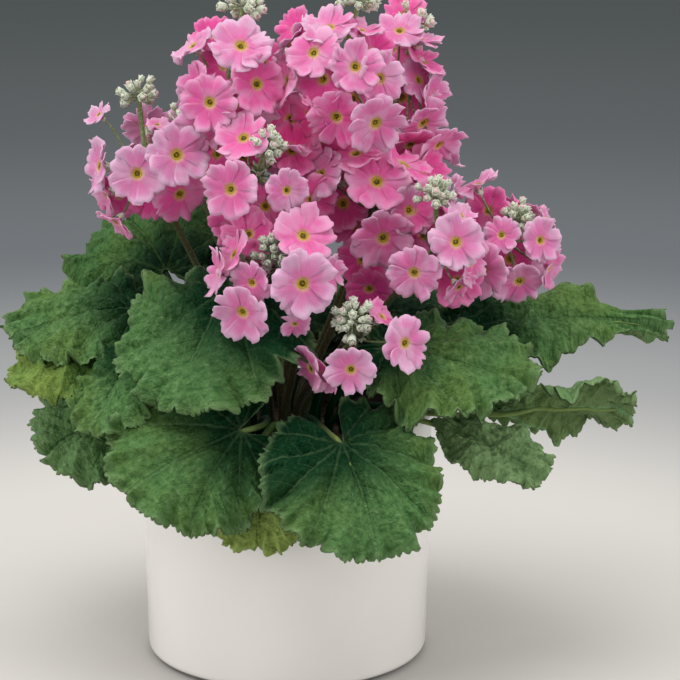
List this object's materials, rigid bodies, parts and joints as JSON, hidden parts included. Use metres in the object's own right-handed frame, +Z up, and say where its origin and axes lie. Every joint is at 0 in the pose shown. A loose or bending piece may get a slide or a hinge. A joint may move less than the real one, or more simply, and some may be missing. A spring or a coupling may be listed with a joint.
{
  "type": "potted chinese primrose",
  "caption": "Flowering primrose house plant in a plain glazed pot: frilled heart-shaped leaves round the rim and whorls of notched pink flowers on slender stalks.",
  "frame": {"origin": "centre of the pot's flat underside", "axes": "+Z up along the pot's axis, -Y towards the pictured front, +X to the right as seen from the front; the pot stands on its underside"},
  "size_m": [0.2981, 0.2436, 0.308],
  "materials": {
    "pot_glaze": "gloss",
    "potting_mix": "matte",
    "leaf_green": "satin",
    "leaf_deep": "satin",
    "leaf_lime": "satin",
    "stem": "matte",
    "petal": "matte"
  },
  "bodies": {
    "root": {"pot": "pot_glaze", "soil": "potting_mix", "leaf_front": "leaf_green", "leaf_front_left": "leaf_green", "leaf_left_low": "leaf_green", "leaf_right_low": "leaf_green", "leaf_right_turned": "leaf_green", "leaf_lime_low": "leaf_lime", "leaf_back_left_low": "leaf_deep", "leaf_back_low": "leaf_deep", "leaf_back_right_low": "leaf_deep", "leaf_right_back_low": "leaf_deep", "leaf_upper_front": "leaf_green", "leaf_upper_left": "leaf_green", "leaf_lime_left": "leaf_lime", "leaf_raised_left": "leaf_deep", "leaf_small_left": "leaf_green", "leaf_upper_right": "leaf_green", "leaf_long_right": "leaf_green", "leaf_upper_back_right": "leaf_deep", "leaf_upper_back": "leaf_deep", "scape_top_left": "stem", "scape_top": "stem", "scape_top_right": "stem", "scape_left": "stem", "scape_middle": "stem", "scape_front_left": "stem", "scape_front": "stem", "scape_right_front": "stem", "scape_right": "stem", "scape_back": "stem", "scape_back_left": "stem", "scape_back_right": "stem", "head_top_left": "petal", "head_top": "petal", "head_top_right": "petal", "head_middle_right": "petal", "head_left": "petal", "head_middle": "petal", "head_front_left": "petal", "head_right": "petal", "head_right_front": "petal", "head_front": "petal", "head_back": "petal", "head_back_left": "petal", "head_back_right": "petal"}
  },
  "joints": []
}
